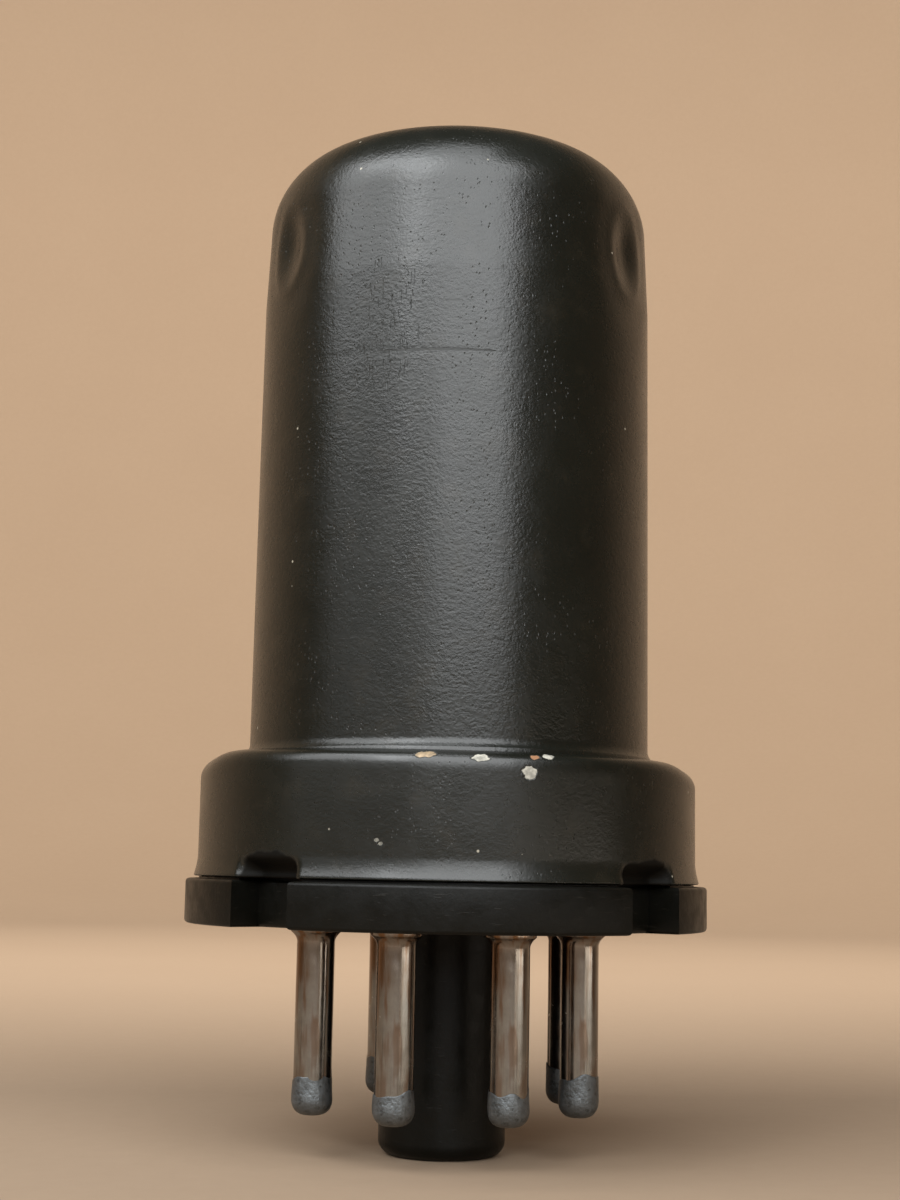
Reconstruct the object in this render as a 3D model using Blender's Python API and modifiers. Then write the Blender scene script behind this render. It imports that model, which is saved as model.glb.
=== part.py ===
"""Metal-shell octal vacuum tube, built as the separate pieces it is assembled from.

The tube stands upright, dome at the top. The origin is the centre of the flat
end of the locating spigot, +Z runs up the tube's axis to the dome, and the
spigot's key points to +Y.
"""

import math

import bmesh
import bpy
from mathutils import Matrix, Vector

MM = 0.001
GAP = 0.3 * MM
FINE_GAP = 0.15 * MM
MERGE = 0.0001 * MM
ROUND_STEPS = 56
RIM_STEPS = 96
INNER_STEPS = 30
SMALL_STEPS = 14
HOLE_STEPS = 10
SHARP_ANGLE = math.radians(35)

# Moulded base: a wafer with a hollow locating spigot under it.
SPIGOT_RADIUS = 3.92 * MM
SPIGOT_LENGTH = 13.9 * MM
SPIGOT_BORE = 2.8 * MM
SPIGOT_FLOOR = 1.3 * MM
SPIGOT_NOSE = 0.9 * MM
KEY_WIDTH = 2.3 * MM
KEY_REACH = 5.1 * MM
WAFER_RADIUS = 16.25 * MM
WAFER_THICKNESS = 2.7 * MM
WAFER_TOP = SPIGOT_LENGTH + WAFER_THICKNESS
WAFER_EDGE = 0.25 * MM
RING_OUTER = 14.8 * MM
RING_INNER = 12.9 * MM
RING_HEIGHT = 2.6 * MM
NOTCH_COUNT = 4
NOTCH_FIRST = math.radians(45)
NOTCH_WIDTH = 4.6 * MM
NOTCH_FLOOR = 13.9 * MM
POCKET_FLOOR = 13.6 * MM
POCKET_WIDTH = 5.2 * MM

# Pins on the octal circle. Pin 1 is the first one clockwise from the key, seen from below.
PIN_COUNT = 8
PIN_CIRCLE = 8.725 * MM
PIN_RADIUS = 1.165 * MM
PIN_BORE = 0.75 * MM
PIN_LENGTH = 11.05 * MM
PIN_RIM = 1.55 * MM
PIN_RIM_THICKNESS = 0.35 * MM
PIN_RIM_CONE = 0.6 * MM
PIN_HOLE = PIN_RADIUS + FINE_GAP
PIN_TIP = SPIGOT_LENGTH - PIN_LENGTH
SOLDER_PROUD = 0.18 * MM
SOLDER_TOP = PIN_TIP + 1.3 * MM

# Drawn steel shell with a weld flange at its foot.
SHELL_WALL = 0.75 * MM
SHELL_RADIUS = 12.55 * MM
KNEE_RADIUS = 12.42 * MM
KNEE_HEIGHT = 53.0 * MM
SHOULDER_RADIUS = 12.2 * MM
SHOULDER_CURVE = 5.2 * MM
DOME_CROWN = 0.45 * MM
TUBE_HEIGHT = 63.6 * MM
FOOT_CURVE = 1.2 * MM
FOOT_HEIGHT = 24.6 * MM
FLANGE_RIM = 13.9 * MM
FLANGE_TOP = FOOT_HEIGHT - FOOT_CURVE
FLANGE_UNDER = FLANGE_TOP - SHELL_WALL
DIMPLE_COUNT = 3
DIMPLE_FIRST = math.radians(-63.6)
DIMPLE_HEIGHT = 55.7 * MM
DIMPLE_HALF = (3.2 * MM, 1.4 * MM, 4.6 * MM)
DIMPLE_DEPTH = 0.4 * MM
BUMP_HALF = (2.4 * MM, 0.8 * MM, 3.2 * MM)
BUMP_RADIUS = 11.4 * MM

# Sheet-steel collar, crimped into the wafer's notches.
COLLAR_WALL = 0.5 * MM
COLLAR_RADIUS = 15.53 * MM
COLLAR_FOOT_RADIUS = 15.75 * MM
COLLAR_CURVE = 2.1 * MM
COLLAR_TOP = 24.3 * MM
COLLAR_LIP = 13.15 * MM
COLLAR_FOOT = WAFER_TOP + FINE_GAP
COLLAR_FLARE_HEIGHT = 1.0 * MM
CRIMP_DEPTH = 1.2 * MM
CRIMP_HEIGHT = 1.2 * MM
CRIMP_HALF_ANGLE = math.radians(8.5)

# Header that closes the shell, and the glass stem sealed into it.
HEADER_SHEET = 0.7 * MM
HEADER_FLANGE_TOP = FLANGE_UNDER - GAP
HEADER_RISER = 11.2 * MM
HEADER_TOP = 24.2 * MM
HEADER_EYE = 8.8 * MM
STEM_RADIUS = HEADER_EYE - GAP
STEM_BOTTOM = 22.5 * MM
STEM_TOP = 24.5 * MM
STEM_EDGE = 0.4 * MM
LEAD_CIRCLE = 5.6 * MM
LEAD_RADIUS = 0.25 * MM
LEAD_HOLE = LEAD_RADIUS + FINE_GAP
EXHAUST_RADIUS = 1.6 * MM
EXHAUST_WALL = 0.35 * MM
EXHAUST_TOP = 25.0 * MM
EXHAUST_PINCH = 9.0 * MM
EXHAUST_TIP = 5.0 * MM

# Electrode cage between two mica discs.
MICA_THICKNESS = 0.35 * MM
MICA_RADIUS = 11.1 * MM
LOWER_MICA = 31.0 * MM
UPPER_MICA = 51.6 * MM
ROD_FOOT = 29.9 * MM
ROD_HEAD = 53.1 * MM
SHIELD_HEIGHT = 27.2 * MM
SHIELD_SHEET = 0.3 * MM
SHIELD_RADIUS = 10.6 * MM
SHIELD_LIP = 1.5 * MM
CATHODE_RADIUS = 0.7 * MM
CATHODE_BORE = 0.52 * MM
HEATER_WIRE = 0.11 * MM
HEATER_SPREAD = 0.24 * MM
ANODE_RADIUS = 6.45 * MM
ANODE_SHEET = 0.25 * MM
ANODE_ROD = 0.45 * MM
ANODE_ROD_PLACE = ANODE_RADIUS + ANODE_ROD + FINE_GAP
POST_RADIUS = 0.5 * MM
POST_PLACE = 8.9 * MM
# Name, half width across the side rods, half depth, rod radius, wire radius, turns.
GRIDS = (
    ("control_grid", 2.2 * MM, 1.5 * MM, 0.35 * MM, 0.09 * MM, 8),
    ("screen_grid", 3.7 * MM, 2.9 * MM, 0.40 * MM, 0.11 * MM, 6),
    ("suppressor_grid", 5.2 * MM, 4.4 * MM, 0.45 * MM, 0.13 * MM, 4),
)
GETTER_HEIGHT = 56.6 * MM
GETTER_RADIUS = 1.9 * MM
GETTER_SHEET = 0.25 * MM
GETTER_DEPTH = 1.1 * MM
GETTER_OFFSET = 4.6 * MM
GETTER_WIRE = 0.3 * MM


def new_collection(name):
    collection = bpy.data.collections.new(name)
    bpy.context.scene.collection.children.link(collection)
    return collection


def clear_scene():
    for obj in list(bpy.data.objects):
        bpy.data.objects.remove(obj, do_unlink=True)


def make_material(name, colour, roughness, metallic=0.0):
    material = bpy.data.materials.new(name)
    material.use_nodes = True
    shader = material.node_tree.nodes["Principled BSDF"]
    shader.inputs["Base Color"].default_value = (*colour, 1.0)
    shader.inputs["Roughness"].default_value = roughness
    shader.inputs["Metallic"].default_value = metallic
    return material


def polar(radius, angle, height=0.0):
    """A point at an angle measured from the -Y direction, anticlockwise from above."""
    return Vector((radius * math.sin(angle), -radius * math.cos(angle), height))


def arc(centre, radius, start, end, count):
    """Points of an arc in the profile plane, from one angle in degrees to another."""
    points = []
    for index in range(count + 1):
        angle = math.radians(start + (end - start) * index / count)
        points.append((centre[0] + radius * math.cos(angle), centre[1] + radius * math.sin(angle)))
    return points


def place(mesh, name, collection):
    obj = bpy.data.objects.new(name, mesh)
    collection.objects.link(obj)
    return obj


def baked_mesh(obj):
    """The object's mesh with its modifiers applied, welded and shaded."""
    graph = bpy.context.evaluated_depsgraph_get()
    mesh = bpy.data.meshes.new_from_object(obj.evaluated_get(graph))
    work = bmesh.new()
    work.from_mesh(mesh)
    bmesh.ops.remove_doubles(work, verts=work.verts, dist=MERGE)
    work.to_mesh(mesh)
    work.free()
    mesh.shade_smooth()
    mesh.set_sharp_from_angle(angle=SHARP_ANGLE)
    return mesh


def apply_modifiers(obj):
    old_mesh = obj.data
    mesh = baked_mesh(obj)
    obj.modifiers.clear()
    obj.data = mesh
    bpy.data.meshes.remove(old_mesh)


def turned(name, profile, collection, steps=ROUND_STEPS, closed=False):
    """Turn a profile in the XZ plane about Z. It runs down the piece's outer side."""
    mesh = bpy.data.meshes.new(name)
    count = len(profile)
    edges = [(index, index + 1) for index in range(count - 1)]
    if closed:
        edges.append((count - 1, 0))
    mesh.from_pydata([(x, 0.0, z) for x, z in profile], edges, [])
    obj = place(mesh, name, collection)
    screw = obj.modifiers.new("turn", "SCREW")
    screw.axis = "Z"
    screw.angle = math.tau
    screw.steps = steps
    screw.render_steps = steps
    screw.use_merge_vertices = True
    screw.merge_threshold = MERGE
    apply_modifiers(obj)
    return obj


def wire(name, points, radius, collection):
    """A round wire with closed ends along a chain of points."""
    curve = bpy.data.curves.new(name, "CURVE")
    curve.dimensions = "3D"
    curve.bevel_depth = radius
    curve.bevel_resolution = 1
    curve.use_fill_caps = True
    spline = curve.splines.new("POLY")
    spline.points.add(len(points) - 1)
    for point, place_at in zip(spline.points, points):
        point.co = (*place_at, 1.0)
    obj = bpy.data.objects.new(name, curve)
    collection.objects.link(obj)
    return obj


def wire_mesh(name, points, radius, collection):
    """The same wire as a closed mesh, for cutting and joining."""
    source = wire(name, points, radius, collection)
    mesh = baked_mesh(source)
    curve = source.data
    bpy.data.objects.remove(source)
    bpy.data.curves.remove(curve)
    return place(mesh, name, collection)


def cylinder(name, radius, low, high, at, collection, steps=HOLE_STEPS):
    """An upright cylinder between two heights, centred on the XY place of at."""
    middle = Vector((at[0], at[1], (low + high) / 2))
    bpy.ops.mesh.primitive_cylinder_add(
        vertices=steps, radius=radius, depth=high - low, location=middle
    )
    return adopt(bpy.context.object, name, collection)


def box(name, size, centre, turn, collection):
    """A box of the given size, turned about Z."""
    bpy.ops.mesh.primitive_cube_add(size=1.0, location=centre, rotation=(0, 0, turn))
    obj = bpy.context.object
    obj.data.transform(Matrix.Diagonal((*size, 1.0)))
    return adopt(obj, name, collection)


def ellipsoid(name, half, centre, turn, collection):
    bpy.ops.mesh.primitive_uv_sphere_add(
        segments=14, ring_count=8, radius=1.0, location=centre, rotation=(0, 0, turn)
    )
    obj = bpy.context.object
    obj.data.transform(Matrix.Diagonal((*half, 1.0)))
    return adopt(obj, name, collection)


def adopt(obj, name, collection):
    obj.name = name
    for other in list(obj.users_collection):
        other.objects.unlink(obj)
    collection.objects.link(obj)
    return obj


def combine(obj, others, operation):
    """Apply one Boolean per helper object, then leave the helpers as hidden guides."""
    for other in others:
        other.hide_render = True
        other.display_type = "WIRE"
        boolean = obj.modifiers.new(operation.lower(), "BOOLEAN")
        boolean.operation = operation
        boolean.solver = "EXACT"
        boolean.object = other
    bpy.context.view_layer.update()
    apply_modifiers(obj)


def finish(obj, material):
    obj.data.materials.clear()
    obj.data.materials.append(material)
    if obj.type == "MESH":
        obj.data.shade_smooth()
        obj.data.set_sharp_from_angle(angle=SHARP_ANGLE)
    return obj


def pin_angle(number):
    """Where a pin stands, measured from -Y. The key is at half a turn."""
    return math.pi + math.tau * (number - 0.5) / PIN_COUNT


def evenly_around(count, first):
    return [first + math.tau * index / count for index in range(count)]


def make_shell(parts, cutters, material):
    foot_centre = (SHELL_RADIUS + FOOT_CURVE, FOOT_HEIGHT)
    shoulder_height = TUBE_HEIGHT - DOME_CROWN - SHOULDER_CURVE
    shoulder_centre = (SHOULDER_RADIUS - SHOULDER_CURVE, shoulder_height)
    crown_edge = shoulder_centre[0]
    crown = [
        (crown_edge * share, TUBE_HEIGHT - DOME_CROWN * share * share)
        for share in (0.0, 0.6)
    ]
    outer = crown + arc(shoulder_centre, SHOULDER_CURVE, 86, 0, 6) + [(KNEE_RADIUS, KNEE_HEIGHT)]
    outer += arc(foot_centre, FOOT_CURVE, 180, 270, 3)
    outer += [(FLANGE_RIM, FLANGE_TOP), (FLANGE_RIM, FLANGE_UNDER)]
    inner = arc(foot_centre, FOOT_CURVE + SHELL_WALL, 270, 180, 2)
    inner += [(KNEE_RADIUS - SHELL_WALL, KNEE_HEIGHT)]
    inner += arc(shoulder_centre, SHOULDER_CURVE - SHELL_WALL, 0, 86, 4)
    inner += [(x, z - SHELL_WALL) for x, z in (crown[1], crown[0])]
    shell = turned("shell", outer + inner, parts)
    bumps = []
    dents = []
    for angle in evenly_around(DIMPLE_COUNT, DIMPLE_FIRST):
        dent_radius = SHOULDER_RADIUS - DIMPLE_DEPTH + DIMPLE_HALF[1]
        bumps.append(
            ellipsoid("bump", BUMP_HALF, polar(BUMP_RADIUS, angle, DIMPLE_HEIGHT), angle, cutters)
        )
        dents.append(
            ellipsoid("dent", DIMPLE_HALF, polar(dent_radius, angle, DIMPLE_HEIGHT), angle, cutters)
        )
    combine(shell, bumps, "UNION")
    combine(shell, dents, "DIFFERENCE")
    return finish(shell, material)


def smooth_step(share):
    share = min(max(share, 0.0), 1.0)
    return share * share * (3 - 2 * share)


def make_collar(parts, material):
    centre = (COLLAR_RADIUS - COLLAR_CURVE, COLLAR_TOP - COLLAR_CURVE)
    flare_top = COLLAR_FOOT + COLLAR_FLARE_HEIGHT
    outer = [(COLLAR_LIP, COLLAR_TOP)]
    outer += arc(centre, COLLAR_CURVE, 90, 0, 5)[1:]
    outer += [
        (COLLAR_RADIUS, COLLAR_FOOT + CRIMP_HEIGHT),
        (COLLAR_RADIUS, flare_top),
        (COLLAR_FOOT_RADIUS, COLLAR_FOOT),
    ]
    inner = [
        (COLLAR_FOOT_RADIUS - COLLAR_WALL, COLLAR_FOOT),
        (COLLAR_RADIUS - COLLAR_WALL, flare_top),
        (COLLAR_RADIUS - COLLAR_WALL, COLLAR_FOOT + CRIMP_HEIGHT),
    ]
    inner += arc(centre, COLLAR_CURVE - COLLAR_WALL, 0, 90, 3)
    collar = turned("collar", outer + inner, parts, RIM_STEPS, closed=True)
    crimps = evenly_around(NOTCH_COUNT, NOTCH_FIRST)
    for vertex in collar.data.vertices:
        low = smooth_step((COLLAR_FOOT + CRIMP_HEIGHT - vertex.co.z) / CRIMP_HEIGHT)
        angle = math.atan2(vertex.co.x, -vertex.co.y)
        off = min(abs(math.remainder(angle - crimp, math.tau)) for crimp in crimps)
        near = 1.0 - smooth_step((off / CRIMP_HALF_ANGLE - 0.55) / 0.45)
        flat = Vector((vertex.co.x, vertex.co.y, 0.0))
        vertex.co -= flat.normalized() * CRIMP_DEPTH * low * near
    return finish(collar, material)


def make_base_wafer(parts, cutters, material):
    profile = [
        (0.0, SPIGOT_FLOOR),
        (SPIGOT_BORE, SPIGOT_FLOOR),
        (SPIGOT_BORE, WAFER_TOP),
        (RING_INNER, WAFER_TOP),
        (RING_INNER, WAFER_TOP + RING_HEIGHT),
        (RING_OUTER, WAFER_TOP + RING_HEIGHT),
        (RING_OUTER, WAFER_TOP),
        (WAFER_RADIUS - WAFER_EDGE, WAFER_TOP),
        (WAFER_RADIUS, WAFER_TOP - WAFER_EDGE),
        (WAFER_RADIUS, SPIGOT_LENGTH + WAFER_EDGE),
        (WAFER_RADIUS - WAFER_EDGE, SPIGOT_LENGTH),
        (SPIGOT_RADIUS, SPIGOT_LENGTH),
    ]
    nose_centre = (SPIGOT_RADIUS - SPIGOT_NOSE, SPIGOT_NOSE)
    profile += arc(nose_centre, SPIGOT_NOSE, 0, -90, 3)
    profile += [(0.0, 0.0)]
    wafer = turned("base_wafer", profile, parts, RIM_STEPS)

    key_low = SPIGOT_NOSE
    key_high = SPIGOT_LENGTH + WAFER_THICKNESS / 2
    key_root = (SPIGOT_RADIUS + SPIGOT_BORE) / 2
    key_size = (KEY_WIDTH, KEY_REACH - key_root, key_high - key_low)
    key_centre = (0.0, (KEY_REACH + key_root) / 2, (key_high + key_low) / 2)
    key = box("key", key_size, key_centre, 0.0, cutters)
    bevel = key.modifiers.new("soften", "BEVEL")
    bevel.width = 0.35 * MM
    bevel.segments = 2
    combine(wafer, [key], "UNION")

    cuts = []
    reach = WAFER_RADIUS + 1.0 * MM
    for angle in evenly_around(NOTCH_COUNT, NOTCH_FIRST):
        for name, width, floor, low, high in (
            ("notch", NOTCH_WIDTH, NOTCH_FLOOR, SPIGOT_LENGTH - GAP, WAFER_TOP + GAP),
            ("pocket", POCKET_WIDTH, POCKET_FLOOR, WAFER_TOP - GAP, WAFER_TOP + 2 * RING_HEIGHT),
        ):
            size = (width, reach - floor, high - low)
            centre = polar((reach + floor) / 2, angle, (low + high) / 2)
            cuts.append(box(name, size, centre, angle, cutters))
    for number in range(1, PIN_COUNT + 1):
        at = polar(PIN_CIRCLE, pin_angle(number))
        cuts.append(
            cylinder(
                "pin_hole", PIN_HOLE, SPIGOT_LENGTH - GAP, WAFER_TOP + GAP, at, cutters, SMALL_STEPS
            )
        )
    combine(wafer, cuts, "DIFFERENCE")
    return finish(wafer, material)


def move_mesh(obj, offset):
    obj.location = offset
    return obj


def make_pins(parts, pin_material, solder_material):
    rim_top = SPIGOT_LENGTH - FINE_GAP
    rim_low = rim_top - PIN_RIM_THICKNESS
    head_low = WAFER_TOP + FINE_GAP
    head_top = head_low + PIN_RIM_THICKNESS
    taper = 1.0 * MM
    profile = [
        (PIN_BORE, head_top),
        (PIN_RIM, head_top),
        (PIN_RIM, head_low),
        (PIN_RADIUS, head_low),
        (PIN_RADIUS, rim_top),
        (PIN_RIM, rim_top),
        (PIN_RIM, rim_low),
        (PIN_RADIUS, rim_low - PIN_RIM_CONE),
        (PIN_RADIUS, PIN_TIP + taper),
        (PIN_RADIUS * 0.93, PIN_TIP + taper * 0.35),
        (PIN_RADIUS * 0.78, PIN_TIP),
        (PIN_BORE, PIN_TIP),
    ]
    plug_radius = PIN_BORE - FINE_GAP
    plug = [
        (0.0, SOLDER_TOP),
        (plug_radius, SOLDER_TOP - 0.2 * MM),
        (plug_radius, PIN_TIP),
        (plug_radius * 0.7, PIN_TIP - SOLDER_PROUD * 0.75),
        (0.0, PIN_TIP - SOLDER_PROUD),
    ]
    for number in range(1, PIN_COUNT + 1):
        at = polar(PIN_CIRCLE, pin_angle(number))
        pin = turned(f"pin_{number}", profile, parts, SMALL_STEPS, closed=True)
        solder = turned(f"solder_tip_{number}", plug, parts, HOLE_STEPS)
        finish(move_mesh(pin, at), pin_material)
        finish(move_mesh(solder, at), solder_material)


def make_header(parts, material):
    profile = [
        (HEADER_EYE, HEADER_TOP),
        (HEADER_RISER - HEADER_SHEET / 2, HEADER_TOP),
        (HEADER_RISER, HEADER_TOP - HEADER_SHEET / 2),
        (HEADER_RISER, HEADER_FLANGE_TOP),
        (FLANGE_RIM, HEADER_FLANGE_TOP),
        (FLANGE_RIM, HEADER_FLANGE_TOP - HEADER_SHEET),
        (HEADER_RISER - HEADER_SHEET, HEADER_FLANGE_TOP - HEADER_SHEET),
        (HEADER_RISER - HEADER_SHEET, HEADER_TOP - HEADER_SHEET),
        (HEADER_EYE, HEADER_TOP - HEADER_SHEET),
    ]
    return finish(turned("header", profile, parts, INNER_STEPS, closed=True), material)


def make_stem_glass(parts, cutters, material):
    bore = EXHAUST_RADIUS + FINE_GAP
    profile = [
        (bore, STEM_TOP),
        (STEM_RADIUS - STEM_EDGE, STEM_TOP),
        (STEM_RADIUS, STEM_TOP - STEM_EDGE),
        (STEM_RADIUS, STEM_BOTTOM + STEM_EDGE),
        (STEM_RADIUS - STEM_EDGE, STEM_BOTTOM),
        (bore, STEM_BOTTOM),
    ]
    stem = turned("stem_glass", profile, parts, INNER_STEPS, closed=True)
    holes = []
    for number in range(2, PIN_COUNT + 1):
        at = polar(LEAD_CIRCLE, pin_angle(number))
        holes.append(
            cylinder("lead_hole", LEAD_HOLE, STEM_BOTTOM - GAP, STEM_TOP + GAP, at, cutters)
        )
    combine(stem, holes, "DIFFERENCE")
    return finish(stem, material)


def make_exhaust_tube(parts, material):
    bore = EXHAUST_RADIUS - EXHAUST_WALL
    floor = EXHAUST_TIP + 1.4 * MM
    profile = [
        (0.0, floor),
        (bore * 0.8, floor + 0.3 * MM),
        (bore, floor + 0.9 * MM),
        (bore, EXHAUST_PINCH),
        (bore, EXHAUST_TOP),
        (EXHAUST_RADIUS, EXHAUST_TOP),
        (EXHAUST_RADIUS, EXHAUST_PINCH),
        (EXHAUST_RADIUS, floor),
        (EXHAUST_RADIUS * 0.85, EXHAUST_TIP + 0.3 * MM),
        (0.0, EXHAUST_TIP),
    ]
    tube = turned("exhaust_tube", profile, parts, steps=SMALL_STEPS)
    for vertex in tube.data.vertices:
        squeeze = smooth_step((EXHAUST_PINCH - vertex.co.z) / (EXHAUST_PINCH - floor))
        vertex.co.x *= 1.0 + 0.15 * squeeze
        vertex.co.y *= 1.0 - 0.65 * squeeze
    return finish(tube, material)


def electrode_feet():
    """Where each lead ends under the lower mica: pin number to a place on the plan."""
    feet = {
        2: (-HEATER_SPREAD * 3.2, HEATER_SPREAD * 3.2),
        3: (-GRIDS[2][1], 0.0),
        4: (-GRIDS[0][1], 0.0),
        5: (0.0, -CATHODE_RADIUS),
        6: (GRIDS[1][1], 0.0),
        7: (HEATER_SPREAD * 3.2, HEATER_SPREAD * 3.2),
        8: (0.0, ANODE_ROD_PLACE),
    }
    return {number: Vector((*place_at, 0.0)) for number, place_at in feet.items()}


def make_leads(parts, material):
    feet = electrode_feet()
    inside_pin = SOLDER_TOP + GAP
    bend_low = WAFER_TOP + 1.4 * MM
    bend_high = STEM_BOTTOM - 1.2 * MM
    foot_height = ROD_FOOT - 1.1 * MM
    for number in range(1, PIN_COUNT + 1):
        angle = pin_angle(number)
        pin = polar(PIN_CIRCLE, angle)
        up = Vector((0.0, 0.0, 1.0))
        if number in feet:
            stem = polar(LEAD_CIRCLE, angle)
            top = [
                stem + up * bend_high,
                stem + up * (SHIELD_HEIGHT + 0.9 * MM),
                feet[number] + up * foot_height,
            ]
        else:
            stem = polar(HEADER_RISER + 1.0 * MM, angle)
            top = [stem + up * (HEADER_FLANGE_TOP - HEADER_SHEET - FINE_GAP)]
        points = [pin + up * inside_pin, pin + up * bend_low, *top]
        lead = wire(f"lead_{number}", points, LEAD_RADIUS, parts)
        finish(lead, material)


def make_stem_shield(parts, cutters, material):
    eye = 2.2 * MM
    profile = [
        (eye, SHIELD_HEIGHT + SHIELD_SHEET),
        (SHIELD_RADIUS, SHIELD_HEIGHT + SHIELD_SHEET),
        (SHIELD_RADIUS, SHIELD_HEIGHT - SHIELD_LIP),
        (SHIELD_RADIUS - SHIELD_SHEET, SHIELD_HEIGHT - SHIELD_LIP),
        (SHIELD_RADIUS - SHIELD_SHEET, SHIELD_HEIGHT),
        (eye, SHIELD_HEIGHT),
    ]
    shield = turned("stem_shield", profile, parts, INNER_STEPS, closed=True)
    places = [polar(LEAD_CIRCLE, pin_angle(number)) for number in range(2, PIN_COUNT + 1)]
    holes = [(at, LEAD_RADIUS + 2 * GAP) for at in places]
    holes += [(Vector((side * POST_PLACE, 0, 0)), POST_RADIUS + FINE_GAP) for side in (-1, 1)]
    cuts = [
        cylinder(
            "shield_hole",
            radius,
            SHIELD_HEIGHT - GAP,
            SHIELD_HEIGHT + SHIELD_SHEET + GAP,
            at,
            cutters,
        )
        for at, radius in holes
    ]
    combine(shield, cuts, "DIFFERENCE")
    return finish(shield, material)


def cage_rods():
    """Every upright that passes through the micas: place on the plan and radius."""
    rods = [(Vector((0, 0, 0)), CATHODE_RADIUS)]
    for _, half_width, _, rod_radius, _, _ in GRIDS:
        rods += [(Vector((side * half_width, 0, 0)), rod_radius) for side in (-1, 1)]
    rods += [(Vector((0, side * ANODE_ROD_PLACE, 0)), ANODE_ROD) for side in (-1, 1)]
    rods += [(Vector((side * POST_PLACE, 0, 0)), POST_RADIUS) for side in (-1, 1)]
    return rods


def make_mica(name, low, parts, cutters, material):
    """A mica disc with one hole for each upright of the cage."""
    high = low + MICA_THICKNESS
    mica = cylinder(name, MICA_RADIUS, low, high, (0, 0), parts, INNER_STEPS)
    cuts = [
        cylinder("mica_hole", radius + FINE_GAP, low - GAP, high + GAP, at, cutters)
        for at, radius in cage_rods()
    ]
    combine(mica, cuts, "DIFFERENCE")
    return finish(mica, material)


def make_grid(spec, parts, cutters, material):
    """Two side rods joined by one wire wound round them."""
    name, half_width, half_depth, rod_radius, wire_radius, turns = spec
    low = LOWER_MICA + MICA_THICKNESS + 1.6 * MM
    high = UPPER_MICA - 1.6 * MM
    per_turn = 12
    count = turns * per_turn
    points = []
    for index in range(count + 1):
        angle = math.tau * index / per_turn
        height = low + (high - low) * index / count
        points.append(
            Vector((half_width * math.cos(angle), half_depth * math.sin(angle), height))
        )
    winding = wire_mesh(f"{name}_winding", points, wire_radius, cutters)
    rods = [
        cylinder(f"{name}_rod", rod_radius, ROD_FOOT, ROD_HEAD, (side * half_width, 0), holder)
        for side, holder in ((-1, parts), (1, cutters))
    ]
    grid = rods[0]
    combine(grid, [rods[1], winding], "UNION")
    grid.name = name
    return finish(grid, material)


def make_cathode(parts, material):
    profile = [
        (CATHODE_BORE, ROD_HEAD - GAP),
        (CATHODE_RADIUS, ROD_HEAD - GAP),
        (CATHODE_RADIUS, ROD_FOOT + GAP),
        (CATHODE_BORE, ROD_FOOT + GAP),
    ]
    return finish(turned("cathode", profile, parts, SMALL_STEPS, closed=True), material)


def make_heater(parts, material):
    """One wire folded into four legs inside the cathode sleeve."""
    low = ROD_FOOT + 1.2 * MM
    high = ROD_HEAD - 1.5 * MM
    foot = ROD_FOOT - 0.5 * MM
    side = HEATER_SPREAD
    out = side * 3.2
    points = [
        (-out, out, foot),
        (-side, side, foot + 0.8 * MM),
        (-side, side, high),
        (-side, -side, high),
        (-side, -side, low),
        (side, -side, low),
        (side, -side, high),
        (side, side, high),
        (side, side, foot + 0.8 * MM),
        (out, out, foot),
    ]
    heater = wire("heater", [Vector(point) for point in points], HEATER_WIRE, parts)
    return finish(heater, material)


def make_anode(parts, material):
    low = LOWER_MICA + MICA_THICKNESS + 0.8 * MM
    high = UPPER_MICA - 0.8 * MM
    bead = 0.2 * MM
    inner = ANODE_RADIUS - ANODE_SHEET
    profile = [
        (inner, high),
        (ANODE_RADIUS, high),
        (ANODE_RADIUS, high - 3.0 * MM),
        (ANODE_RADIUS - bead, high - 3.6 * MM),
        (ANODE_RADIUS, high - 4.2 * MM),
        (ANODE_RADIUS, low + 4.2 * MM),
        (ANODE_RADIUS - bead, low + 3.6 * MM),
        (ANODE_RADIUS, low + 3.0 * MM),
        (ANODE_RADIUS, low),
        (inner, low),
        (inner, low + 3.0 * MM),
        (inner - bead, low + 3.6 * MM),
        (inner, low + 4.2 * MM),
        (inner, high - 4.2 * MM),
        (inner - bead, high - 3.6 * MM),
        (inner, high - 3.0 * MM),
    ]
    return finish(turned("anode", profile, parts, 24, closed=True), material)


def make_uprights(parts, anode_material, post_material):
    for number, side in ((1, -1), (2, 1)):
        rod_at = (0.0, side * ANODE_ROD_PLACE)
        rod = cylinder(f"anode_rod_{number}", ANODE_ROD, ROD_FOOT, ROD_HEAD, rod_at, parts)
        finish(rod, anode_material)
        post_at = (side * POST_PLACE, 0.0)
        post_foot = HEADER_TOP + FINE_GAP
        post = cylinder(f"mount_post_{number}", POST_RADIUS, post_foot, ROD_HEAD, post_at, parts)
        finish(post, post_material)


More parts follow.
